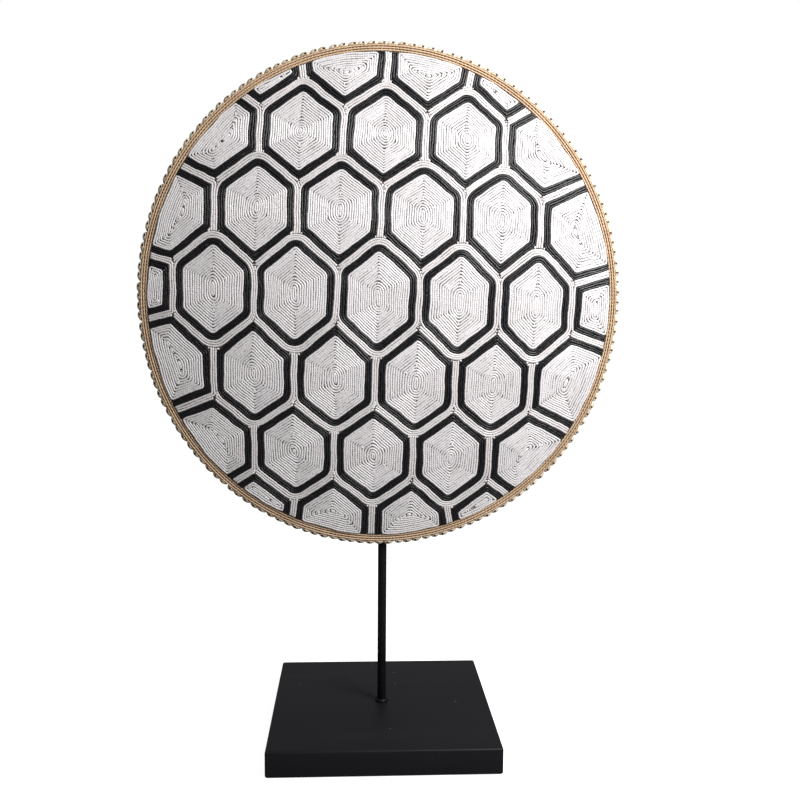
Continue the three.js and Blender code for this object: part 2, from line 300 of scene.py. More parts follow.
def corner_of(sizes, cell, k):
    """Corner k lies between neighbours k and k + 1: on the way from the centre of the cell that is alone in
    its row to the middle between the other two."""
    around = [cell, neighbour(cell, k), neighbour(cell, k + 1)]
    rows = [c[1] for c in around]
    third = next(c for c in around if rows.count(c[1]) == 1)
    between = sum(cell_centre(sizes, c) for c in around if c is not third) / 2
    start = cell_centre(sizes, third)
    point = hand_laid(start + (between - start) * sizes.corner_share)
    return {"point": point, "inside": all(is_cell(c) for c in around), "k": k % 6}


def unit(vector):
    return vector / np.linalg.norm(vector)


def left_of(vector):
    """A flat vector turned a quarter to the left."""
    return np.array([-vector[1], vector[0]])


def rim_end(start, lattice_end):
    """Where a divider that runs out to the rim has left the shield."""
    lattice = unit(lattice_end - start)
    direction = lattice + unit(start)
    if abs(lattice[0]) > 0.5:
        direction[0] += math.copysign(RIM_SPREAD, lattice[0])
    return start + unit(direction) * RIM_REACH


def cell_corners(sizes, cell):
    """The corners anticlockwise; a cell at the rim has its inner corners and two rim ends, with k -1."""
    corners = [corner_of(sizes, cell, k) for k in range(6)]
    if all(c["inside"] for c in corners):
        return corners
    first = next(k for k in range(6) if corners[k]["inside"] and not corners[k - 1]["inside"])
    chain = []
    while corners[(first + len(chain)) % 6]["inside"]:
        chain.append(corners[(first + len(chain)) % 6])
    before = rim_end(chain[0]["point"], corners[first - 1]["point"])
    after = rim_end(chain[-1]["point"], corner_of(sizes, cell, chain[-1]["k"] + 1)["point"])
    return [{"point": before, "k": -1}, *chain, {"point": after, "k": -1}]


def is_round_corner(cell, k):
    """The dividers run on round the side of a whole cell that faces away from the middle row, and round both
    sides of one in the middle row. The corners of the cells that the rim cuts are sharp."""
    if k < 0 or abs(cell[0]) >= (cells_in_row(cell[1]) - 1) / 2:
        return False
    return cell[1] == 0 or (k < 3) == (cell[1] > 0)


def crossing(point_a, along_a, point_b, along_b):
    """Where two lines cross."""
    matrix = np.array([along_a, -along_b]).T
    share = np.linalg.solve(matrix, point_b - point_a)[0]
    return point_a + along_a * share


def sides_of(corners):
    """Each side's first corner, direction, inward direction and the neighbour that it faces."""
    sides = []
    count = len(corners)
    for n, corner in enumerate(corners):
        after = corners[(n + 1) % count]
        along = unit(after["point"] - corner["point"])
        facing = None
        if after["k"] >= 0:
            facing = after["k"]
        elif corner["k"] >= 0:
            facing = (corner["k"] + 1) % 6
        sides.append({"start": corner["point"], "along": along, "inward": left_of(along),
                      "facing": facing})
    return sides


def side_line(side, distance):
    return side["start"] + side["inward"] * distance, side["along"]


def rounded(corner_point, before, after, radius, steps=6):
    """Points of an arc that rounds a corner between two directions."""
    turn = math.atan2(before[0] * after[1] - before[1] * after[0], float(before @ after))
    setback = radius * math.tan(abs(turn) / 2)
    start = corner_point - before * setback
    sign = 1 if turn > 0 else -1
    centre = start + sign * radius * left_of(before)
    arm = start - centre
    points = []
    for n in range(steps + 1):
        angle = turn * n / steps
        turned = np.array([arm[0] * math.cos(angle) - arm[1] * math.sin(angle),
                           arm[0] * math.sin(angle) + arm[1] * math.cos(angle)])
        points.append(centre + turned)
    return points


def string_bend(sizes, cell, k, distance):
    """Radius in which a string turns a corner."""
    if is_round_corner(cell, k):
        return sizes.corner_radius - distance
    return SHARP_BEND


def cell_string(sizes, cell, distance):
    """The line of a string all round a cell, and whether it closes."""
    corners = cell_corners(sizes, cell)
    sides = sides_of(corners)
    closed = all(c["k"] >= 0 for c in corners)
    points = []
    for n, corner in enumerate(corners):
        if corner["k"] < 0:
            side = sides[n] if n == 0 else sides[n - 1]
            points.append(corner["point"] + side["inward"] * distance)
            continue
        place = crossing(*side_line(sides[n - 1], distance), *side_line(sides[n], distance))
        radius = string_bend(sizes, cell, corner["k"], distance)
        points.extend(rounded(place, sides[n - 1]["along"], sides[n]["along"], radius))
    return np.array(points), closed


def divider_strings(sizes, cell):
    """The lines of the divider strings that belong to a cell: its own side of the upright dividers, and all
    three rows of the divider that runs over it."""
    corners = cell_corners(sizes, cell)
    sides = sides_of(corners)
    count = len(corners)
    row = sizes.divider_width / 3
    up = cell[1]
    mine = [(s["facing"] in (1, 2) and up >= 0) or (s["facing"] in (4, 5) and up <= 0) for s in sides]
    upright = [s["facing"] in (0, 3) for s in sides]
    right = [s["facing"] == 0 for s in sides]
    plans = (
        (row, [m or u for m, u in zip(mine, upright)], 0.5 * MM, 3.2 * MM),
        (0, [m or r for m, r in zip(mine, right)], -0.8 * MM, 1.2 * MM),
        (-row, mine, 3.2 * MM, 0.9 * MM),
    )
    strings = []
    for distance, included, stop_at_arc, stop_at_upright in plans:
        if all(included):
            strings.append(cell_string(sizes, cell, distance))
            continue
        for n in range(count):
            if not included[n] or included[n - 1]:
                continue
            run = [n]
            while included[(run[-1] + 1) % count]:
                run.append((run[-1] + 1) % count)
            ends = []
            last = (run[-1] + 1) % count
            for mine_at, other_at, corner_at in ((run[0], run[0] - 1, run[0]), (run[-1], last, last)):
                side, other, corner = sides[mine_at], sides[other_at], corners[corner_at]
                if corner["k"] < 0:
                    ends.append(corner["point"] + side["inward"] * distance)
                    continue
                stop = stop_at_upright if other["facing"] in (0, 3) else stop_at_arc
                ends.append(crossing(*side_line(side, distance), *side_line(other, stop)))
            points = [ends[0]]
            for a, b in zip(run, run[1:]):
                place = crossing(*side_line(sides[a], distance), *side_line(sides[b], distance))
                radius = string_bend(sizes, cell, corners[b]["k"], distance)
                points.extend(rounded(place, sides[a]["along"], sides[b]["along"], radius))
            points.append(ends[1])
            strings.append((np.array(points), False))
    return strings


def clip(polygon, point, normal):
    """The part of a convex polygon on the inner side of a line."""
    side = (polygon - point) @ normal
    kept = []
    for n in range(len(polygon)):
        here, there = side[n - 1], side[n]
        if (here >= 0) != (there >= 0):
            share = here / (here - there)
            kept.append(polygon[n - 1] + share * (polygon[n] - polygon[n - 1]))
        if there >= 0:
            kept.append(polygon[n])
    return np.array(kept)


def shrunk(polygon, distance):
    """A convex polygon, anticlockwise, drawn in by a distance; empty when nothing is left."""
    result = polygon
    for n in range(len(polygon)):
        edge = polygon[n] - polygon[n - 1]
        size = np.linalg.norm(edge)
        if size < 1e-7:
            continue
        normal = left_of(edge) / size
        result = clip(result, polygon[n] + normal * distance, normal)
        if len(result) < 3:
            return np.zeros((0, 2))
    return result


def field_outline(sizes, cell):
    """The edge of a cell's white field: inside its black outline and inside the cords."""
    inner_edge = sizes.divider_width / 2 + sizes.outline_width
    polygon, closed = cell_string(sizes, cell, inner_edge)
    if closed:
        return polygon
    rim = oval(sizes, sizes.bead_inset, 90)
    for n in range(len(rim)):
        polygon = clip(polygon, rim[n], unit(left_of(rim[n] - rim[n - 1])))
    return polygon


def field_strings(sizes, beads, cell):
    """Rows that follow the edge of the field, one inside the other, and beads in the holes between."""
    outline = field_outline(sizes, cell)
    low, high = 0.0, DEEPEST_FIELD
    for _ in range(24):
        middle = (low + high) / 2
        low, high = (middle, high) if len(shrunk(outline, middle)) else (low, middle)
    count = max(1, round(low / beads.row_pitch))
    pitch = low / count
    strings = []
    for n in range(count):
        polygon = shrunk(outline, (n + 0.5) * pitch)
        if len(polygon) < 3:
            continue
        polygon = simpler(polygon, 0.3 * MM)
        inner = count - n
        rows = soft_corners(polygon, 0.4 * MM if n < 2 or inner > 5 else 2.0 * MM)
        strings.append((soft_corners(rows, 1.0 * MM) if n > 1 and inner < 5 else rows, True))
    return strings + filler_beads(outline, strings), pitch


def filler_beads(outline, strings):
    """Short strings of one bead in the holes between the rows of a field."""
    area = shrunk(outline, 1.0 * MM)
    if len(area) < 3:
        return []
    grid = grid_over(area.min(axis=0), area.max(axis=0))
    for n in range(len(area)):
        grid = grid[(grid - area[n]) @ left_of(area[n] - area[n - 1]) >= 0]
    return beads_in_holes(grid, tree_of(strings))


def joint_beads(sizes, strings):
    """Single beads in the holes where three dividers meet, at the top and bottom corners of the cells."""
    outlines = [cell_string(sizes, cell, (sizes.divider_width + sizes.outline_width / 3) / 2)
                for _, _, cell in all_cells()]
    tree = tree_of(strings + outlines)
    beads = []
    for _, _, cell in all_cells():
        for k in (1, 4):
            corner = corner_of(sizes, cell, k)
            if corner["inside"]:
                grid = grid_over(corner["point"] - 5 * MM, corner["point"] + 5 * MM)
                beads.extend(beads_in_holes(grid, tree))
    return beads


def grid_over(low, high):
    """Points of an even grid over a rectangle."""
    step = 0.6 * MM
    across, up = np.meshgrid(np.arange(low[0], high[0], step), np.arange(low[1], high[1], step))
    return np.stack([across.ravel(), up.ravel()], -1)


def tree_of(strings):
    """The lines of strings as a tree of points, to find the nearest one."""
    points = [point for line, closed in strings for point in finely(line, closed)]
    tree = KDTree(len(points))
    for n, point in enumerate(points):
        tree.insert((point[0], point[1], 0), n)
    tree.balance()
    return tree


def beads_in_holes(grid, tree):
    """One bead after the other at the point that is farthest from all strings, until no hole is left."""
    reach = np.array([tree.find((x, y, 0))[2] for x, y in grid])
    beads = []
    while len(reach) and reach.max() > FILLED_HOLE:
        place = grid[int(reach.argmax())]
        near = tree.find((place[0], place[1], 0))[0]
        aside = unit(place - np.array(near[:2]))
        along = left_of(aside) * 0.9 * MM
        beads.append((np.array([place - along, place + along]), False))
        reach = np.minimum(reach, np.linalg.norm(grid - place, axis=1) * 0.9)
    return beads


def finely(points, closed):
    """Points at most half a millimetre apart along a line."""
    ring = np.vstack([points, points[:1]]) if closed else points
    fine = []
    for a, b in zip(ring, ring[1:]):
        pieces = max(1, math.ceil(np.linalg.norm(b - a) / (0.5 * MM)))
        fine.extend(a + (b - a) * n / pieces for n in range(pieces))
    return fine


def simpler(polygon, shortest):
    """A closed polygon without its shortest sides."""
    kept = [polygon[0]]
    for point in polygon[1:]:
        if np.linalg.norm(point - kept[-1]) > shortest:
            kept.append(point)
    if len(kept) > 3 and np.linalg.norm(kept[-1] - kept[0]) <= shortest:
        kept.pop()
    return np.array(kept)


def soft_corners(polygon, cut):
    """Cuts the corners of a closed polygon, by no more than a third of each side."""
    points = []
    for n in range(len(polygon)):
        before, here, after = polygon[n - 1], polygon[n], polygon[(n + 1) % len(polygon)]
        for other in (before, after):
            size = np.linalg.norm(other - here)
            share = min(cut, size / 3) / max(size, 1e-9)
            points.append(here + (other - here) * share)
    return np.array(points)


# Strings of beads


def new_object(name, data):
    """A new object in the scene."""
    piece = bpy.data.objects.new(name, data)
    bpy.context.scene.collection.objects.link(piece)
    return piece


def point_values(mesh, name, values):
    """Stores a number at each point of a mesh, for its material."""
    layer = mesh.attributes.new(name, "FLOAT", "POINT")
    layer.data.foreach_set("value", np.asarray(values).astype(np.float32))


def waved(points, reach):
    """Flat points moved by slow waves, the same for all strings, so that neighbours stay side by side."""
    random = np.random.default_rng(SEED)
    moved = np.array(points, dtype=float)
    for wavelength, share in ((96, 0.6), (58, 0.5), (37, 0.45), (23, 0.35), (15, 0.25)):
        for axis in (0, 1):
            heading = random.uniform(0, math.pi)
            phase = random.uniform(0, 2 * math.pi)
            place = points[:, 0] * math.cos(heading) + points[:, 1] * math.sin(heading)
            moved[:, axis] += reach * share * np.sin(2 * math.pi * place / (wavelength * MM) + phase)
    return moved


def travelled_along(points):
    """How far along a line each of its points lies."""
    return np.concatenate([[0], np.cumsum(np.linalg.norm(np.diff(points, axis=0), axis=1))])


def points_at(points, travelled, distance):
    """The points that lie this far along a line."""
    return np.stack([np.interp(distance, travelled, points[:, axis]) for axis in (0, 1)], -1)


def spaced(points, closed, step, start):
    """Points at even distances along a line, as many as whole beads fit."""
    if closed:
        points = np.vstack([points, points[:1]])
    travelled = travelled_along(points)
    total = travelled[-1]
    count = max(3 if closed else 1, round(total / step))
    places = (np.arange(count) + (start if closed else 0.5)) * total / count
    places = np.mod(places, total) if closed else places
    joins = places + total / count / 2
    joins = np.mod(joins, total) if closed else joins
    return points_at(points, travelled, places), points_at(points, travelled, joins), count


def alternated(beads, gaps):
    """The values of the beads, each followed by the one of the gap behind it."""
    both = np.empty((2 * len(beads), *beads.shape[1:]))
    both[0::2], both[1::2] = beads, gaps
    return both


def rim_part(sizes, points, inset):
    """The stretch of a line that lies on the shield, for a line that runs out over its rim."""
    fine = []
    for a, b in zip(points, points[1:]):
        pieces = max(1, int(np.linalg.norm(b - a) / (0.4 * MM)))
        fine.extend(a + (b - a) * n / pieces for n in range(pieces))
    fine.append(points[-1])
    fine = np.array(fine)
    return fine[inside_oval(sizes, fine, inset)]


class StringBuilder:
    """Gathers strings of beads and makes one mesh of them."""

    SECTION = 5

    def __init__(self, sizes, beads, seed):
        self.sizes = sizes
        self.beads = beads
        self.random = np.random.default_rng(seed)
        self.vertices = []
        self.quads = []
        self.caps = []
        self.tones = []
        self.gaps = []
        self.count = 0

    def wander(self, count):
        """How far each bead strays to the side: a slow wave and a little of its own."""
        turn = np.arange(count) * 2 * math.pi / max(count, 1)
        waves = np.zeros(count)
        for harmonic in (2, 3, 5, 8, 13):
            phase = self.random.uniform(0, 2 * math.pi)
            waves += np.sin(turn * harmonic + phase) / math.sqrt(harmonic)
        own = self.random.normal(0, 0.35, count)
        return self.beads.wander * (0.55 * waves + own)

    def add(self, points, closed, row_width, loose=1.0):
        """One string along a flat line; a loose one strays more."""
        if len(points) < 2:
            return
        step = self.beads.bead_length * self.random.uniform(0.96, 1.04)
        middles, joins, count = spaced(points, closed, step, self.random.uniform(0, 1))
        if closed:
            ahead = np.roll(middles, -1, axis=0) - np.roll(middles, 1, axis=0)
        elif count > 1:
            ahead = np.gradient(middles, axis=0)
        else:
            ahead = np.array([points[-1] - points[0]])
        norms = np.linalg.norm(ahead, axis=1, keepdims=True)
        ahead = ahead / np.maximum(norms, 1e-9)
        side = np.stack([-ahead[:, 1], ahead[:, 0]], -1)
        middles = waved(middles, self.beads.wave) + side * (loose * self.wander(count))[:, None]
        if closed:
            joins = (middles + np.roll(middles, -1, axis=0)) / 2
            join_side = side + np.roll(side, -1, axis=0)
        else:
            joins = np.vstack([(middles[:-1] + middles[1:]) / 2, joins[-1:]])
            join_side = side + np.vstack([side[1:], side[-1:]])
        join_side /= np.maximum(np.linalg.norm(join_side, axis=1, keepdims=True), 1e-9)
        girth = self.random.normal(1, 0.045, count).clip(0.85, 1.12)
        lift = self.random.normal(0, 0.05 * MM, count)
        tone = self.random.uniform(0, 1, count)
        waist = self.beads.waist
        centres = alternated(middles, joins)
        sides = alternated(side, join_side)
        half_width = alternated(girth * row_width * 0.5, row_width * 0.5 * waist)
        half_depth = alternated(girth * self.beads.half_depth, self.beads.half_depth * waist)
        heights = alternated(BEAD_CENTRE + lift, BEAD_CENTRE)
        tones = np.repeat(tone, 2)
        # bead_gap is 1 at the waist between two beads, where the bead glaze paints shade
        gaps = np.tile([0.0, 1.0], count)
        if not closed:
            centres = np.vstack([centres[:1] * 2 - centres[1:2], centres])
            sides = np.vstack([sides[:1], sides])
            half_width = np.concatenate([half_width[1:2], half_width])
            half_depth = np.concatenate([half_depth[1:2], half_depth])
            heights = np.concatenate([heights[:1], heights])
            tones = np.concatenate([tones[:1], tones])
            gaps = np.concatenate([[1.0], gaps])
        self.add_rings(centres, sides, half_width, half_depth, heights, tones, gaps, closed)

    def add_rings(self, centres, sides, half_width, half_depth, heights, tones, gaps, closed):
        rings = len(centres)
        angle = math.pi / 2 + (np.arange(self.SECTION) + 0.5) * 2 * math.pi / self.SECTION
        flat = centres[:, None, :] + sides[:, None, :] * (half_width[:, None] * np.cos(angle))[..., None]
        level = heights[:, None] + half_depth[:, None] * np.sin(angle)
        points = on_dome(self.sizes, flat, level)
        base = self.count
        index = base + np.arange(rings * self.SECTION).reshape(rings, self.SECTION)
        after = np.roll(index, -1, axis=0) if closed else index[1:]
        here = index if closed else index[:-1]
        quads = np.stack([here, np.roll(here, -1, axis=1), np.roll(after, -1, axis=1), after], -1)
        self.quads.append(quads.reshape(-1, 4))
        if not closed:
            self.caps.append(index[0][::-1])
            self.caps.append(index[-1])
        self.vertices.append(points.reshape(-1, 3))
        self.tones.append(np.repeat(tones, self.SECTION))
        self.gaps.append(np.repeat(gaps, self.SECTION))
        self.count += rings * self.SECTION

    def finish(self, name, material):
        """The mesh object of all strings."""
        vertices = np.vstack(self.vertices)
        quads = np.vstack(self.quads)
        caps = np.array(self.caps, dtype=int).reshape(-1, self.SECTION)
        loops = np.concatenate([quads.ravel(), caps.ravel()])
        starts = np.concatenate([np.arange(len(quads)) * 4,
                                 len(quads) * 4 + np.arange(len(caps)) * self.SECTION])
        mesh = bpy.data.meshes.new(name)
        mesh.vertices.add(len(vertices))
        mesh.vertices.foreach_set("co", vertices.ravel().astype(np.float32))
        mesh.loops.add(len(loops))
        mesh.loops.foreach_set("vertex_index", loops.astype(np.int32))
        mesh.polygons.add(len(starts))
        mesh.polygons.foreach_set("loop_start", starts.astype(np.int32))
        mesh.update(calc_edges=True)
        for attribute, values in (("bead_tone", self.tones), ("bead_gap", self.gaps)):
            point_values(mesh, attribute, np.concatenate(values))
        mesh.polygons.foreach_set("use_smooth", np.ones(len(starts), dtype=bool))
        mesh.materials.append(material)
        return new_object(name, mesh)


# Materials


class Maker:
    """Builds a node tree with short calls."""

    def __init__(self, tree):
        self.tree = tree

    def feed(self, socket, value):
        """Links a socket to another one, or sets its value."""
        if isinstance(value, bpy.types.NodeSocket):
            self.tree.links.new(value, socket)
        else:
            socket.default_value = value

    def node(self, kind, inputs=None, **settings):
        node = self.tree.nodes.new(kind)
        for key, value in settings.items():
            setattr(node, key, value)
        for key, value in (inputs or {}).items():
            self.feed(node.inputs[key], value)
        return node

    def mix(self, factor, first, second, blend="MIX"):
        node = self.node("ShaderNodeMix", data_type="RGBA", blend_type=blend)
        for index, value in ((0, factor), (6, first), (7, second)):
            self.feed(node.inputs[index], value)
        return node.outputs[2]

    def between(self, value, low, high, to_low=0.0, to_high=1.0):
        node = self.node("ShaderNodeMapRange", {"Value": value, "From Min": low, "From Max": high,
                                                "To Min": to_low, "To Max": to_high})
        return node.outputs[0]

    def math(self, operation, first, second=0.0):
        node = self.node("ShaderNodeMath", operation=operation)
        for index, value in enumerate((first, second)):
            self.feed(node.inputs[index], value)
        return node.outputs[0]

    def noise(self, place, scale, detail=2.0, rough=0.5):
        node = self.node("ShaderNodeTexNoise", {"Vector": place, "Scale": scale, "Detail": detail,
                                                "Roughness": rough})
        return node.outputs["Fac"]


def rgba(colour_value):
    return (*colour_value, 1.0)


def new_group(name, inputs, outputs):
    """A shader node group with named sockets, its maker, and its input and output nodes."""
    group = bpy.data.node_groups.new(name, "ShaderNodeTree")
    for label, kind, default in inputs:
        socket = group.interface.new_socket(label, in_out="INPUT", socket_type=kind)
        if default is not None:
            socket.default_value = default
    for label, kind in outputs:
        group.interface.new_socket(label, in_out="OUTPUT", socket_type=kind)
    make = Maker(group)
    return group, make, make.node("NodeGroupInput"), make.node("NodeGroupOutput")


def bead_glaze_group():
    """Colour and gloss of glass beads: each its own tone, painted shade where two meet, cloudy over a field."""
    name = "Bead Glaze"
    if name in bpy.data.node_groups:
        return bpy.data.node_groups[name]
    group, make, source, result = new_group(
        name,
        (("Colour", "NodeSocketColor", None), ("Other Tone", "NodeSocketColor", None),
         ("Gap Colour", "NodeSocketColor", None), ("Gap Share", "NodeSocketFloat", 0.5),
         ("Tone Share", "NodeSocketFloat", 0.4), ("Roughness", "NodeSocketFloat", 0.35)),
        (("Colour", "NodeSocketColor"), ("Roughness", "NodeSocketFloat"), ("Height", "NodeSocketFloat")),
    )
    tone = make.node("ShaderNodeAttribute", attribute_name="bead_tone").outputs["Fac"]
    gap = make.node("ShaderNodeAttribute", attribute_name="bead_gap").outputs["Fac"]
    place = make.node("ShaderNodeTexCoord").outputs["Object"]
    cloud = make.noise(place, 28, 3)
    odd = make.between(tone, 0.86, 1.0)
    spread = make.math("ADD", make.math("MULTIPLY", tone, 0.45), odd)
    own = make.math("MULTIPLY", spread, source.outputs["Tone Share"])
    toned = make.mix(own, source.outputs["Colour"], source.outputs["Other Tone"])
    clouded = make.mix(make.between(cloud, 0.35, 0.7, 0.0, 0.22), toned, source.outputs["Other Tone"])
    # painted shade: towards the waist between two beads the colour turns to the gap colour, as the shade between
    # them
    wear_and_gap_shade = make.math("MULTIPLY", make.between(gap, 0.45, 1.0), source.outputs["Gap Share"])
    make.feed(result.inputs["Colour"], make.mix(wear_and_gap_shade, clouded, source.outputs["Gap Colour"]))
    make.feed(result.inputs["Roughness"],
              make.math("ADD", source.outputs["Roughness"], make.between(tone, 0, 1, -0.05, 0.12)))
    make.feed(result.inputs["Height"], make.noise(place, 900, 1))
    return group


def specks_group():
    """Masks of dust specks and of faint wiping marks on a painted surface."""
    name = "Dust and Wiping"
    if name in bpy.data.node_groups:
        return bpy.data.node_groups[name]
    group, make, source, result = new_group(
        name,
        (("Scale", "NodeSocketFloat", 300.0), ("Density", "NodeSocketFloat", 0.05)),
        (("Specks", "NodeSocketFloat"), ("Wiping", "NodeSocketFloat"), ("Height", "NodeSocketFloat")),
    )
    place = make.node("ShaderNodeTexCoord").outputs["Object"]
    dots = make.node("ShaderNodeTexVoronoi", {"Vector": place, "Scale": source.outputs["Scale"],
                                              "Randomness": 1.0})
    chosen = make.node("ShaderNodeSeparateColor", {"Color": dots.outputs["Color"]}).outputs[0]
    picked = make.math("LESS_THAN", chosen, source.outputs["Density"])
    near = make.between(dots.outputs["Distance"], 0.10, 0.26, 1.0, 0.0)
    make.feed(result.inputs["Specks"], make.math("MULTIPLY", picked, near))
    stretched = make.node("ShaderNodeMapping", {"Vector": place, "Scale": (3.0, 26.0, 12.0)}).outputs[0]
    make.feed(result.inputs["Wiping"], make.noise(stretched, 1.6, 4, 0.62))
    make.feed(result.inputs["Height"], make.noise(place, 420, 3, 0.6))
    return group


def fibre_group():
    """Tone and relief of plant fibre that runs along a piece's UV map."""
    name = "Plant Fibre"
    if name in bpy.data.node_groups:
        return bpy.data.node_groups[name]
    group, make, source, result = new_group(
        name,
        (("Along", "NodeSocketFloat", 1.0), ("Across", "NodeSocketFloat", 10.0)),
        (("Tone", "NodeSocketFloat"), ("Patch", "NodeSocketFloat"), ("Height", "NodeSocketFloat")),
    )
    uv = make.node("ShaderNodeUVMap").outputs[0]
    scale = make.node("ShaderNodeCombineXYZ", {"X": source.outputs["Along"], "Y": source.outputs["Across"],
                                               "Z": 1.0}).outputs[0]
    stretched = make.node("ShaderNodeVectorMath", {0: uv, 1: scale}, operation="MULTIPLY").outputs[0]
    hairs = make.noise(stretched, 1.0, 4, 0.7)
    place = make.node("ShaderNodeTexCoord").outputs["Object"]
    make.feed(result.inputs["Tone"], hairs)
    make.feed(result.inputs["Patch"], make.noise(place, 45, 3))
    make.feed(result.inputs["Height"], hairs)
    return group


def new_material(name, roughness, specular=0.5):
    """A material, its maker and its shader."""
    material = bpy.data.materials.new(name)
    material.use_nodes = True
    material.node_tree.nodes.clear()
    make = Maker(material.node_tree)
    shader = make.node("ShaderNodeBsdfPrincipled", {"Roughness": roughness, "Specular IOR Level": specular})
    make.node("ShaderNodeOutputMaterial", {"Surface": shader.outputs[0]})
    return material, make, shader


def use_group(make, group, inputs):
    node = make.node("ShaderNodeGroup", node_tree=group)
    for label, value in inputs.items():
        node.inputs[label].default_value = value
    return node


def bumped(make, shader, height, strength, distance):
    bump = make.node("ShaderNodeBump", {"Height": height, "Strength": strength, "Distance": distance})
    make.feed(shader.inputs["Normal"], bump.outputs[0])


def bead_material(name, colour_value, other, gap, gap_shade_share, tone_share, roughness, coat, specular=0.5):
    if name in bpy.data.materials:
        return bpy.data.materials[name]
    material, make, shader = new_material(name, roughness, specular)
    glaze = use_group(make, bead_glaze_group(), {
        "Colour": rgba(colour_value), "Other Tone": rgba(other), "Gap Colour": rgba(gap), "Gap Share": gap_shade_share,
        "Tone Share": tone_share, "Roughness": roughness})
    make.feed(shader.inputs["Base Color"], glaze.outputs["Colour"])
    make.feed(shader.inputs["Roughness"], glaze.outputs["Roughness"])
    shader.inputs["Coat Weight"].default_value = coat
    shader.inputs["Coat Roughness"].default_value = 0.2
    bumped(make, shader, glaze.outputs["Height"], 0.25, 0.0002)
    return material


# The third colour of each bead glass is painted shade, laid where two beads meet
def white_bead_material(colours):
    return bead_material("white bead glass", colours.white_beads, (0.52, 0.495, 0.48), (0.30, 0.27, 0.26),
                         0.3, 0.4, 0.34, 0.2)


def divider_bead_material(colours):
    return bead_material("divider bead glass", colours.divider_beads, (0.50, 0.47, 0.44), (0.30, 0.27, 0.25),
                         0.3, 0.4, 0.36, 0.2)


def black_bead_material(colours):
    return bead_material("black bead glass", colours.black_beads, (0.012, 0.012, 0.015), (0.0015, 0.0015, 0.002),
                         0.6, 0.6, 0.4, 0.0, specular=0.4)


def felt_material(colours):
    material, make, shader = new_material("dark ground cloth", 0.95, 0.2)
    place = make.node("ShaderNodeTexCoord").outputs["Object"]
    fuzz = make.noise(place, 1400, 3)
    shade = make.mix(make.between(fuzz, 0.3, 0.7), rgba(colours.felt), (0.11, 0.085, 0.075, 1))
    make.feed(shader.inputs["Base Color"], shade)
    bumped(make, shader, fuzz, 0.5, 0.0003)
    return material


def plant_material(name, finish, stretch, base, lighter, tones, patch, crevice_shade, relief):
    """Plant fibre in two tones, with browner patches (their range and tone) and painted shade in the
    crevices (their attribute, start, share and tone)."""
    material, make, shader = new_material(name, *finish)
    fibre = use_group(make, fibre_group(), {"Along": stretch[0], "Across": stretch[1]})
    depth = make.node("ShaderNodeAttribute", attribute_name=crevice_shade[0]).outputs["Fac"]
    light = tuple(min(1.0, c * lighter) for c in base)
    tone = make.mix(make.between(fibre.outputs["Tone"], *tones), rgba(base), rgba(light))
    patched = make.mix(make.between(fibre.outputs["Patch"], *patch[0], 0.0, 0.4), tone, rgba(patch[1]))
    # painted shade: the crevice mask darkens the fibre where two plies or two coils meet
    dark = make.mix(make.between(depth, crevice_shade[1], 1.0, 0.0, crevice_shade[2]), patched, rgba(crevice_shade[3]))
    make.feed(shader.inputs["Base Color"], dark)
    bumped(make, shader, fibre.outputs["Height"], relief, 0.0004)
    return material


# The cord's crevice colour is painted shade between its two plies
def cord_material(colours):
    return plant_material("twisted tan fibre", (0.8, 0.25), (500.0, 9.0), colours.fibre, 1.25, (0.32, 0.68),
                          patch=((0.35, 0.7), (0.40, 0.25, 0.15)),
                          crevice_shade=("ply_crevice", 0.5, 0.45, (0.20, 0.11, 0.07)), relief=0.5)


# The cane's crevice colour is painted shade between its coils
def cane_material(colours):
    return plant_material("coiled cane", (0.7, 0.3), (260.0, 60.0), colours.cane, 1.5, (0.3, 0.7),
                          patch=((0.4, 0.75), (0.20, 0.11, 0.05)),
                          crevice_shade=("coil_crevice", 0.4, 0.85, (0.06, 0.03, 0.015)), relief=0.4)


def shell_material(colours):
    material, make, shader = new_material("natural shell", 0.38, 0.5)
    place = make.node("ShaderNodeTexCoord").outputs["Object"]
    tone = make.node("ShaderNodeAttribute", attribute_name="shell_tone").outputs["Fac"]
    mouth = make.node("ShaderNodeAttribute", attribute_name="shell_mouth_shade").outputs["Fac"]
    streak = make.noise(place, 420, 3)
    cream = (0.86, 0.76, 0.60, 1)
    body = make.mix(make.between(tone, 0.0, 0.8), rgba(colours.shell), cream)
    streaked = make.mix(make.between(streak, 0.45, 0.7, 0.0, 0.3), body, (0.24, 0.14, 0.06, 1))
    # painted shade: the inside of each shell's mouth takes the dark mouth colour
    dark = make.mix(mouth, streaked, rgba(colours.shell_mouth_shade))
    make.feed(shader.inputs["Base Color"], dark)
    shader.inputs["Coat Weight"].default_value = 0.3
    shader.inputs["Coat Roughness"].default_value = 0.25
    bumped(make, shader, streak, 0.25, 0.0003)
    return material


def painted_material(name, colour_value, roughness, density, wear_and_gap_shade):
    """Black paint with dust specks, faint wiping marks and a fine grain."""
    if name in bpy.data.materials:
        return bpy.data.materials[name]
    material, make, shader = new_material(name, roughness, 0.16)
    dust = use_group(make, specks_group(), {"Scale": 210.0, "Density": density})
    wiped = make.mix(make.between(dust.outputs["Wiping"], 0.35, 0.75), rgba(colour_value), rgba(wear_and_gap_shade))
    specked = make.mix(make.between(dust.outputs["Specks"], 0, 1, 0.0, 0.35), wiped, (0.30, 0.30, 0.32, 1))
    make.feed(shader.inputs["Base Color"], specked)
    make.feed(shader.inputs["Roughness"],
              make.between(dust.outputs["Wiping"], 0.3, 0.75, roughness - 0.06, roughness + 0.1))
    bumped(make, shader, dust.outputs["Height"], 0.12, 0.0002)
    return material


# Modelling helpers


def deselect():
    """Leaves edit mode and deselects everything."""
    if bpy.context.object and bpy.context.object.mode != "OBJECT":
        bpy.ops.object.mode_set(mode="OBJECT")
    bpy.ops.object.select_all(action="DESELECT")


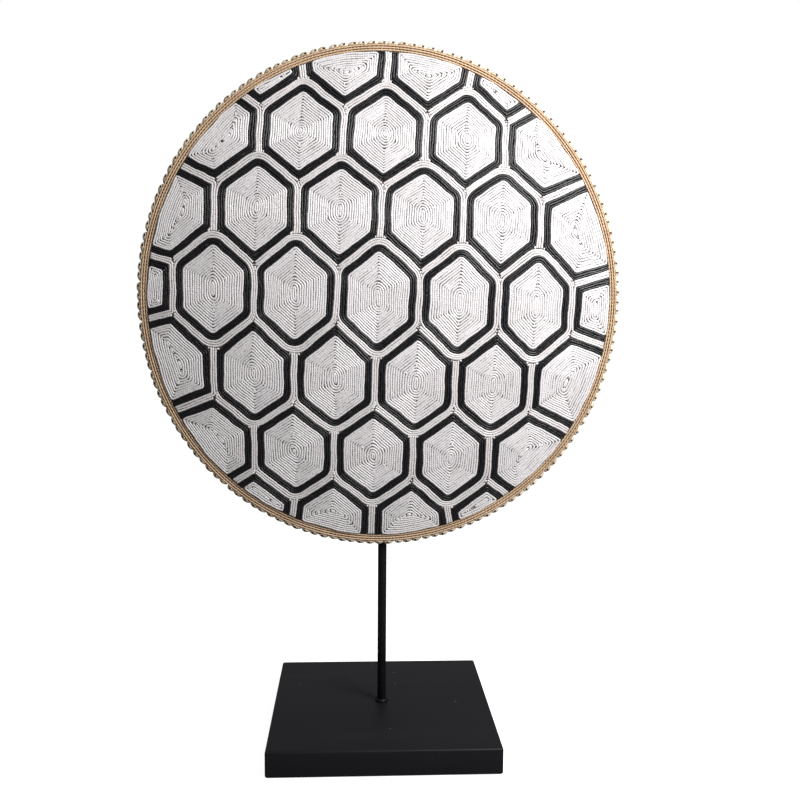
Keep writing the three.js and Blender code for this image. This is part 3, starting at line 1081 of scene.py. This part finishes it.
def select_only(piece):
    """Selects one piece and makes it the active one."""
    deselect()
    piece.select_set(True)
    bpy.context.view_layer.objects.active = piece


def made(name):
    """The object that an operator has just added, with its new name."""
    piece = bpy.context.object
    piece.name = name
    piece.data.name = name
    return piece


def at_origin(piece):
    """Puts a piece's place, turn and scale into its mesh."""
    select_only(piece)
    bpy.ops.object.transform_apply(location=True, rotation=True, scale=True)


def apply_modifier(piece, kind, **settings):
    """Adds a modifier and applies it."""
    select_only(piece)
    modifier = piece.modifiers.new(kind.title(), kind)
    for key, value in settings.items():
        setattr(modifier, key, value)
    bpy.ops.object.modifier_apply(modifier=modifier.name)


def smooth(piece, angle):
    select_only(piece)
    bpy.ops.object.shade_smooth_by_angle(angle=math.radians(angle))


def dress(piece, material, slot_name, *nodes):
    """Gives a piece its material, its body and the nodes that it stands for."""
    if not piece.data.materials:
        piece.data.materials.append(material)
    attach(piece, BODY)
    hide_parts(*nodes)
    return piece


def recalculate(piece):
    """Merges doubled points and turns every face outwards."""
    select_only(piece)
    bpy.ops.object.mode_set(mode="EDIT")
    bpy.ops.mesh.select_all(action="SELECT")
    bpy.ops.mesh.remove_doubles(threshold=1e-6)
    bpy.ops.mesh.normals_make_consistent(inside=False)
    bpy.ops.object.mode_set(mode="OBJECT")


def spun(name, profile, steps):
    """A closed ring: a profile of (distance from the axis, height) turned about the Z axis."""
    mesh = bpy.data.meshes.new(name)
    edges = [(n, (n + 1) % len(profile)) for n in range(len(profile))]
    mesh.from_pydata([(r, 0, z) for r, z in profile], edges, [])
    piece = new_object(name, mesh)
    select_only(piece)
    bpy.ops.object.mode_set(mode="EDIT")
    bpy.ops.mesh.select_all(action="SELECT")
    bpy.ops.mesh.spin(steps=steps, angle=2 * math.pi, center=(0, 0, 0), axis=(0, 0, 1))
    bpy.ops.object.mode_set(mode="OBJECT")
    recalculate(piece)
    return piece


# Operators, one for each piece or group of like pieces


class SHIELD_OT_base(bpy.types.Operator):
    """Models the square base block with softly rounded edges"""

    bl_idname = "shield.base"
    bl_label = "Base Block"

    def execute(self, context):
        sizes, colours = context.scene.stand_sizes, context.scene.shield_colours
        deselect()
        bpy.ops.mesh.primitive_cube_add(size=1, location=(sizes.offset, 0, sizes.base_height / 2))
        piece = made("base_block")
        piece.scale = (sizes.base_side, sizes.base_side, sizes.base_height)
        at_origin(piece)
        bpy.ops.object.mode_set(mode="EDIT")
        bpy.ops.mesh.select_all(action="DESELECT")
        bpy.ops.object.mode_set(mode="OBJECT")
        for edge in piece.data.edges:
            ends = [piece.data.vertices[v].co for v in edge.vertices]
            edge.select = abs(ends[0].z - ends[1].z) > sizes.base_height / 2
        bpy.ops.object.mode_set(mode="EDIT")
        bpy.ops.mesh.select_mode(type="EDGE")
        bpy.ops.mesh.bevel(offset=sizes.base_corner, segments=5, affect="EDGES")
        bpy.ops.object.mode_set(mode="OBJECT")
        apply_modifier(piece, "BEVEL", width=sizes.base_edge, segments=3, limit_method="ANGLE",
                       angle_limit=math.radians(60))
        smooth(piece, 40)
        paint = painted_material("satin black paint", colours.paint, 0.45, 0.012, (0.012, 0.0115, 0.0145))
        dress(piece, paint, "black_paint", "base")
        return {"FINISHED"}


class SHIELD_OT_rod(bpy.types.Operator):
    """Models the rod and the low collar at its foot"""

    bl_idname = "shield.rod"
    bl_label = "Rod and Collar"

    def execute(self, context):
        sizes, colours = context.scene.stand_sizes, context.scene.shield_colours
        steel = painted_material("satin black steel", colours.steel, 0.4, 0.01, (0.008, 0.008, 0.009))
        low, high = node_box("rod")
        deselect()
        bpy.ops.mesh.primitive_cylinder_add(vertices=40, radius=sizes.rod_radius, depth=high[2] - low[2],
                                            location=(sizes.offset, 0, (high[2] + low[2]) / 2))
        rod = made("rod_bar")
        at_origin(rod)
        apply_modifier(rod, "BEVEL", width=0.6 * MM, segments=3, limit_method="ANGLE",
                       angle_limit=math.radians(60))
        smooth(rod, 35)
        dress(rod, steel, "black_steel", "rod")
        inner = sizes.rod_radius + 0.25 * MM
        foot = node_box("foot_collar")[0][2]
        top = foot + sizes.collar_height
        outer = sizes.collar_radius
        collar = spun("foot_ring", [
            (inner, foot), (outer, foot), (outer, foot + 1.2 * MM), (outer - 0.3 * MM, foot + 2.0 * MM),
            (outer - 0.9 * MM, top - 0.25 * MM), (outer - 1.5 * MM, top), (inner + 0.3 * MM, top),
            (inner, top - 0.3 * MM)], 48)
        collar.location.x = sizes.offset
        at_origin(collar)
        smooth(collar, 40)
        dress(collar, steel, "black_steel", "foot_collar")
        return {"FINISHED"}


class SHIELD_OT_backing(bpy.types.Operator):
    """Models the coiled cane backing and the dark ground cloth on its front"""

    bl_idname = "shield.backing"
    bl_label = "Backing and Ground Cloth"

    def execute(self, context):
        sizes, colours = context.scene.shield_sizes, context.scene.shield_colours
        radius = sizes.half_height - sizes.backing_inset
        steps = round(radius / COIL_WIDTH) * COIL_POINTS
        profile = [(radius - 0.4 * MM, BACKING_THICKNESS), (radius, BACKING_THICKNESS - 0.8 * MM)]
        # painted shade mask for the crevices between the coils
        crevice_shade = [0.0, 0.0]
        for n in range(steps, -1, -1):
            ridge = abs(math.sin(math.pi * ((n % COIL_POINTS) / COIL_POINTS)))
            profile.append((radius * n / steps, COIL_DEPTH * (1 - ridge) ** 1.6))
            crevice_shade.append((1 - ridge) ** 3)
        for n in range(9):
            profile.append((max(0.0, (radius - 0.4 * MM) * n / 9), BACKING_THICKNESS))
            crevice_shade.append(0.0)
        backing = lathe_on_shield(sizes, "coiled_backing", profile, crevice_shade, 120, sizes.backing_inset)
        smooth(backing, 60)
        dress(backing, cane_material(colours), "cane", "backing")
        edge = sizes.half_height - sizes.bead_inset + 0.1 * MM
        cloth_profile = [(edge * n / 12, CLOTH_BOTTOM) for n in range(13)]
        cloth_profile += [(edge * n / 12, CLOTH_TOP) for n in range(12, -1, -1)]
        cloth = lathe_on_shield(sizes, "ground_cloth", cloth_profile, [0.0] * len(cloth_profile), 96,
                                sizes.bead_inset - 0.1 * MM)
        smooth(cloth, 60)
        dress(cloth, felt_material(colours), "white_beads", "white_beadwork")
        return {"FINISHED"}


def lathe_on_shield(sizes, name, profile, crevice_shade, steps, inset):
    """A disc or ring turned from a profile, drawn to the oval and domed, with a UV map along its turns and a
    mask of painted shade for its crevices.
    """
    squeeze = (sizes.half_width - inset) / (sizes.half_height - inset)
    count = len(profile)
    vertices, uvs, marks = [], [], []
    for n in range(steps):
        angle = 2 * math.pi * n / steps
        for (radius, height), mark in zip(profile, crevice_shade):
            flat = np.array([radius * squeeze * math.cos(angle), radius * math.sin(angle)])
            vertices.append(on_dome(sizes, flat, height))
            uvs.append((angle, radius))
            marks.append(mark)
    faces = []
    for n in range(steps):
        here, there = n * count, ((n + 1) % steps) * count
        for m in range(count):
            after = (m + 1) % count
            if max(profile[m][0], profile[after][0]) > 0:
                faces.append((here + m, here + after, there + after, there + m))
    mesh = bpy.data.meshes.new(name)
    mesh.from_pydata([tuple(v) for v in vertices], [], faces)
    point_values(mesh, "coil_crevice", marks)
    uv = mesh.uv_layers.new(name="UVMap")
    for loop in mesh.loops:
        uv.data[loop.index].uv = uvs[loop.vertex_index]
    piece = new_object(name, mesh)
    recalculate(piece)
    return piece


class SHIELD_OT_fields(bpy.types.Operator):
    """Strings the white beads of the fields, row inside row"""

    bl_idname = "shield.fields"
    bl_label = "White Fields"

    def execute(self, context):
        scene = context.scene
        sizes, beads, colours = scene.shield_sizes, scene.bead_sizes, scene.shield_colours
        material = white_bead_material(colours)
        builders = {}
        for row, _, cell in all_cells():
            builder = builders.setdefault(row, StringBuilder(sizes, beads, SEED + row))
            strings, pitch = field_strings(sizes, beads, cell)
            for points, closed in strings:
                builder.add(points, closed, pitch * ROW_OVERLAP)
        for row, builder in builders.items():
            dress(builder.finish(f"white_field_row{row}", material), material, "white_beads", "white_beadwork")
        return {"FINISHED"}


class SHIELD_OT_dividers(bpy.types.Operator):
    """Strings the three rows of white beads between the cells"""

    bl_idname = "shield.dividers"
    bl_label = "White Dividers"

    def execute(self, context):
        scene = context.scene
        sizes, beads, colours = scene.shield_sizes, scene.bead_sizes, scene.shield_colours
        material = divider_bead_material(colours)
        builder = StringBuilder(sizes, beads, SEED + 20)
        strings = []
        for _, _, cell in all_cells():
            for points, closed in divider_strings(sizes, cell):
                if not closed:
                    points = rim_part(sizes, points, sizes.bead_inset + RIM_CLEARANCE)
                if len(points) > 1:
                    strings.append((points, closed))
        for points, closed in strings + joint_beads(sizes, strings):
            builder.add(points, closed, sizes.divider_width / 3 * ROW_OVERLAP)
        dress(builder.finish("white_dividers", material), material, "white_beads", "white_beadwork")
        return {"FINISHED"}


class SHIELD_OT_outlines(bpy.types.Operator):
    """Strings the three rows of black beads round each cell"""

    bl_idname = "shield.outlines"
    bl_label = "Black Outlines"

    def execute(self, context):
        scene = context.scene
        sizes, beads, colours = scene.shield_sizes, scene.bead_sizes, scene.shield_colours
        material = black_bead_material(colours)
        row_width = sizes.outline_width / 3
        for row, column, cell in all_cells():
            builder = StringBuilder(sizes, beads, SEED + 100 + 10 * row + column)
            for n in range(3):
                points, closed = cell_string(sizes, cell, sizes.divider_width / 2 + (n + 0.5) * row_width)
                if not closed:
                    points = rim_part(sizes, points, sizes.bead_inset + RIM_CLEARANCE)
                builder.add(points, closed, row_width * BLACK_ROW_OVERLAP, loose=BLACK_LOOSENESS)
            piece = builder.finish(f"black_outline_row{row}_cell{column}", material)
            dress(piece, material, "black_beads", f"outline_row{row}_cell{column}")
        return {"FINISHED"}


class SHIELD_OT_cords(bpy.types.Operator):
    """Twists the three edge cords, each of two plies"""

    bl_idname = "shield.cords"
    bl_label = "Edge Cords"

    def execute(self, context):
        sizes, colours = context.scene.shield_sizes, context.scene.shield_colours
        material = cord_material(colours)
        for order, name in enumerate(("outer", "middle", "inner")):
            inset = sizes.backing_inset + sizes.cord_diameter / 2 + sizes.cord_pitch * order
            piece = twisted_cord(sizes, f"twisted_cord_{name}", inset, order)
            dress(piece, material, "tan_fibre", f"edge_cord_{name}")
        return {"FINISHED"}


def twisted_cord(sizes, name, inset, order):
    """Two plies wound round each other along the oval, each a closed tube."""
    random = np.random.default_rng(SEED + 60 + order)
    fine = oval(sizes, inset, 1440)
    closing = np.vstack([fine, fine[:1]])
    travelled = travelled_along(closing)
    total = travelled[-1]
    turns = round(total / sizes.cord_twist)
    rings, section = turns * POINTS_PER_TURN, PLY_SECTION
    share = np.arange(rings) / rings
    middle = points_at(closing, travelled, share * total)
    ahead = np.roll(middle, -1, axis=0) - np.roll(middle, 1, axis=0)
    ahead /= np.linalg.norm(ahead, axis=1, keepdims=True)
    outward = np.stack([ahead[:, 1], -ahead[:, 0]], -1)
    ply = sizes.cord_diameter * PLY_SHARE
    sway = sizes.cord_diameter * PLY_SWAY
    phase = 2 * math.pi * turns * share + 0.5 * np.sin(2 * math.pi * share * 37 + order)
    thick = 1 + 0.05 * np.sin(2 * math.pi * share * 23 + random.uniform(0, 6))
    vertices, faces, uvs, marks = [], [], [], []
    for half in (0, 1):
        turn = phase + math.pi * half
        centre = middle + outward * (sway * np.cos(turn))[:, None]
        height = CORD_CENTRE + sway * np.sin(turn)
        angle = np.arange(section) * 2 * math.pi / section
        reach = (ply * thick)[:, None] * np.cos(angle + turn[:, None])
        lift = (ply * thick)[:, None] * np.sin(angle + turn[:, None])
        flat = centre[:, None, :] + outward[:, None, :] * reach[..., None]
        points = on_dome(sizes, flat, height[:, None] + lift)
        base = half * rings * section
        vertices.append(points.reshape(-1, 3))
        index = base + np.arange(rings * section).reshape(rings, section)
        after = np.roll(index, -1, axis=0)
        corners = [index, after, np.roll(after, -1, 1), np.roll(index, -1, 1)]
        faces.append(np.stack(corners, -1).reshape(-1, 4))
        along_and_round = np.broadcast_arrays((share * total)[:, None], angle / (2 * math.pi))
        uvs.append(np.stack(along_and_round, -1).reshape(-1, 2))
        # painted shade mask: 0 on the outer side of a ply, 1 where it meets the other ply
        marks.append(np.broadcast_to((1 - np.cos(angle)) / 2, (rings, section)).reshape(-1))
    mesh = bpy.data.meshes.new(name)
    mesh.from_pydata(np.vstack(vertices).tolist(), [], np.vstack(faces).tolist())
    point_values(mesh, "ply_crevice", np.concatenate(marks))
    uv = mesh.uv_layers.new(name="UVMap")
    corner = np.empty(len(mesh.loops), dtype=np.int32)
    mesh.loops.foreach_get("vertex_index", corner)
    uv.data.foreach_set("uv", np.vstack(uvs)[corner].ravel().astype(np.float32))
    mesh.polygons.foreach_set("use_smooth", np.ones(len(mesh.polygons), dtype=bool))
    return new_object(name, mesh)


class SHIELD_OT_shells(bpy.types.Operator):
    """Models one small shell with painted shade in its mouth and sews copies round the edge"""

    bl_idname = "shield.shells"
    bl_label = "Shell Edging"

    def execute(self, context):
        sizes, colours = context.scene.shield_sizes, context.scene.shield_colours
        pattern = model_shell()
        piece = sewn_shells(sizes, pattern)
        dress(piece, shell_material(colours), "shell", "shell_edging")
        return {"FINISHED"}


def model_shell():
    """One shell: along X by its length, outwards by Y and forwards by Z, with a mouth near its outer end."""
    deselect()
    bpy.ops.mesh.primitive_uv_sphere_add(segments=16, ring_count=10, radius=1, location=(0, 0, 0),
                                         rotation=(0, math.pi / 2, 0))
    shell = made("shell_pattern")
    at_origin(shell)
    mouth = Vector(MOUTH_DIRECTION).normalized()
    open_faces = [p.index for p in shell.data.polygons
                  if p.center.normalized().dot(mouth) > math.cos(MOUTH_SPREAD)]
    bpy.ops.object.mode_set(mode="EDIT")
    bpy.ops.mesh.select_mode(type="FACE")
    bpy.ops.mesh.select_all(action="DESELECT")
    bpy.ops.object.mode_set(mode="OBJECT")
    for index in open_faces:
        shell.data.polygons[index].select = True
    bpy.ops.object.mode_set(mode="EDIT")
    bpy.ops.mesh.inset(thickness=0.06, depth=0.0)
    bpy.ops.mesh.extrude_region_move(TRANSFORM_OT_translate={"value": tuple(-0.5 * mouth)})
    bpy.ops.object.mode_set(mode="OBJECT")
    return shell


def sewn_shells(sizes, pattern):
    """Copies of the shell pattern side by side round the edge, all sewn the same way round."""
    random = np.random.default_rng(SEED + 80)
    local = np.array([v.co[:] for v in pattern.data.vertices])
    faces = [tuple(p.vertices) for p in pattern.data.polygons]
    # mask for the painted shade inside the mouth: 1 on the sunk faces
    mouth = np.clip((0.95 - np.linalg.norm(local, axis=1)) / 0.1, 0, 1)
    bpy.data.objects.remove(pattern)
    # a shell narrows towards its spire and lies flat against the edge of the backing
    taper = 1 - 0.30 * np.clip(-local[:, 0], 0, 1) ** 2
    shape = local * np.stack([np.ones(len(local)), taper, taper], -1)
    shape[:, 1] = np.where(shape[:, 1] < 0, shape[:, 1] * 0.12, shape[:, 1])
    vertices, polygons, marks, tones = [], [], [], []
    for n in range(sizes.shell_count):
        angle = -2 * math.pi * (n + random.uniform(-0.1, 0.1)) / sizes.shell_count
        centre = np.array([(sizes.half_width - SHELL_ROOT) * math.cos(angle),
                           (sizes.half_height - SHELL_ROOT) * math.sin(angle)])
        along = unit(np.array([sizes.half_width * math.sin(angle), -sizes.half_height * math.cos(angle)]))
        outward = left_of(along)
        half_length = SHELL_HALF_LENGTH * random.normal(1, 0.04)
        breadth = SHELL_BREADTH * random.normal(0.97, 0.06)
        half_depth = SHELL_HALF_DEPTH * random.normal(1, 0.05)
        lean = random.normal(0.10, 0.05) * half_length
        flat = centre + shape[:, :1] * half_length * along + (shape[:, 1:2] * breadth) * outward
        flat = flat + (np.clip(shape[:, 1:2], 0, 1) * lean) * along
        rim = (flat[:, 0] / sizes.half_width) ** 2 + (flat[:, 1] / sizes.half_height) ** 2
        flat = flat / np.sqrt(np.maximum(rim, 1))[:, None]
        height = SHELL_CENTRE + shape[:, 2] * half_depth
        base = len(vertices) * len(shape)
        vertices.append(on_dome(sizes, flat, height))
        polygons.extend(tuple(base + v for v in face) for face in faces)
        marks.append(mouth)
        tones.append(np.full(len(shape), random.beta(1.6, 1.8)))
    mesh = bpy.data.meshes.new("sewn_shells")
    mesh.from_pydata(np.vstack(vertices).tolist(), [], polygons)
    for name, values in (("shell_mouth_shade", marks), ("shell_tone", tones)):
        point_values(mesh, name, np.concatenate(values))
    piece = new_object("sewn_shells", mesh)
    recalculate(piece)
    smooth(piece, 50)
    return piece


class SHIELD_OT_stage(bpy.types.Operator):
    """Sets the floor, the soft studio light and the camera"""

    bl_idname = "shield.stage"
    bl_label = "Stage"

    def execute(self, context):
        settings, colours = context.scene.stage_settings, context.scene.shield_colours
        deselect()
        bpy.ops.mesh.primitive_plane_add(size=14, location=(0, 0, -0.0005))
        floor = made("studio_floor")
        at_origin(floor)
        floor.data.materials.append(floor_material(colours, settings.floor_glow))
        context.scene.world = white_studio(settings.world_strength)
        area_light("key at the upper right", settings.key_power, KEY_SIZE, KEY_PLACE, KEY_TARGET)
        camera_at(settings.lens)
        context.scene.view_settings.view_transform = "Standard"
        return {"FINISHED"}


def white_studio(strength):
    """White surroundings that light the object more softly than they look."""
    world = bpy.data.worlds.new("white studio")
    world.use_nodes = True
    world.node_tree.nodes.clear()
    make = Maker(world.node_tree)
    seen = make.node("ShaderNodeLightPath").outputs["Is Camera Ray"]
    background = make.node("ShaderNodeBackground", {"Color": (1, 1, 1, 1),
                                                    "Strength": make.between(seen, 0, 1, strength, 1.0)})
    make.node("ShaderNodeOutputWorld", {"Surface": background.outputs[0]})
    return world


def floor_material(colours, glow):
    material, make, shader = new_material("pale studio floor", 0.6, 0.3)
    shader.inputs["Emission Color"].default_value = (1, 1, 1, 1)
    seen = make.node("ShaderNodeLightPath").outputs["Is Camera Ray"]
    make.feed(shader.inputs["Emission Strength"], make.between(seen, 0, 1, 0.0, glow))
    place = make.node("ShaderNodeTexCoord").outputs["Object"]
    cloud = make.noise(place, 2.2, 2)
    shade = make.mix(make.between(cloud, 0.3, 0.7, 0.0, 0.3), rgba(colours.floor), (0.90, 0.90, 0.90, 1))
    make.feed(shader.inputs["Base Color"], make.mix(seen, FLOOR_TO_LIGHT, shade))
    return material


def area_light(name, power, size, place, target):
    light = bpy.data.lights.new(name, "AREA")
    light.energy = power
    light.shape = "DISK"
    light.size = size
    lamp = new_object(name, light)
    lamp.location = place
    lamp.rotation_euler = (Vector(target) - Vector(place)).to_track_quat("-Z", "Y").to_euler()
    lamp.visible_camera = False


def camera_at(lens):
    """The camera at the height and turn from which the shield was seen."""
    data = bpy.data.cameras.new("view")
    data.lens = lens
    data.sensor_width = 36
    data.clip_start = 0.05
    camera = new_object("view", data)
    yaw, pitch, roll = (math.radians(turn) for turn in (CAMERA_YAW, CAMERA_PITCH, CAMERA_ROLL))
    forward = Vector((-math.sin(yaw) * math.cos(pitch), math.cos(yaw) * math.cos(pitch), -math.sin(pitch)))
    level = Vector((math.cos(yaw), math.sin(yaw), 0))
    upright = level.cross(forward)
    right = level * math.cos(roll) + upright * math.sin(roll)
    up = upright * math.cos(roll) - level * math.sin(roll)
    turn = Matrix((right, up, -forward)).transposed().to_4x4()
    camera.matrix_world = Matrix.Translation(CAMERA_PLACE) @ turn
    bpy.context.scene.camera = camera


class SHIELD_PT_panel(bpy.types.Panel):
    """Sizes, colours and pieces of the shield"""

    bl_idname = "SHIELD_PT_panel"
    bl_label = "Beaded Shield"
    bl_space_type = "VIEW_3D"
    bl_region_type = "UI"
    bl_category = "Shield"

    def draw(self, context):
        layout = self.layout
        for group in ("shield_sizes", "bead_sizes", "stand_sizes", "shield_colours", "stage_settings"):
            settings = getattr(context.scene, group)
            box = layout.box()
            for name in settings.__annotations__:
                box.prop(settings, name)
        for operator in OPERATORS:
            layout.operator(operator.bl_idname)


OPERATORS = (
    SHIELD_OT_base,
    SHIELD_OT_rod,
    SHIELD_OT_backing,
    SHIELD_OT_fields,
    SHIELD_OT_dividers,
    SHIELD_OT_outlines,
    SHIELD_OT_cords,
    SHIELD_OT_shells,
    SHIELD_OT_stage,
)
SETTINGS = {
    "shield_sizes": ShieldSizes,
    "bead_sizes": BeadSizes,
    "stand_sizes": StandSizes,
    "shield_colours": ShieldColours,
    "stage_settings": StageSettings,
}


def register():
    for settings in SETTINGS.values():
        bpy.utils.register_class(settings)
    for name, settings in SETTINGS.items():
        setattr(bpy.types.Scene, name, PointerProperty(type=settings))
    for operator in OPERATORS:
        bpy.utils.register_class(operator)
    bpy.utils.register_class(SHIELD_PT_panel)


def unregister():
    bpy.utils.unregister_class(SHIELD_PT_panel)
    for operator in reversed(OPERATORS):
        bpy.utils.unregister_class(operator)
    for name in SETTINGS:
        delattr(bpy.types.Scene, name)
    for settings in reversed(SETTINGS.values()):
        bpy.utils.unregister_class(settings)


def main():
    """Registers the classes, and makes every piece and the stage."""
    register()
    bpy.ops.shield.base()
    bpy.ops.shield.rod()
    bpy.ops.shield.backing()
    bpy.ops.shield.fields()
    bpy.ops.shield.dividers()
    bpy.ops.shield.outlines()
    bpy.ops.shield.cords()
    bpy.ops.shield.shells()
    bpy.ops.shield.stage()


if __name__ == "__main__":
    main()
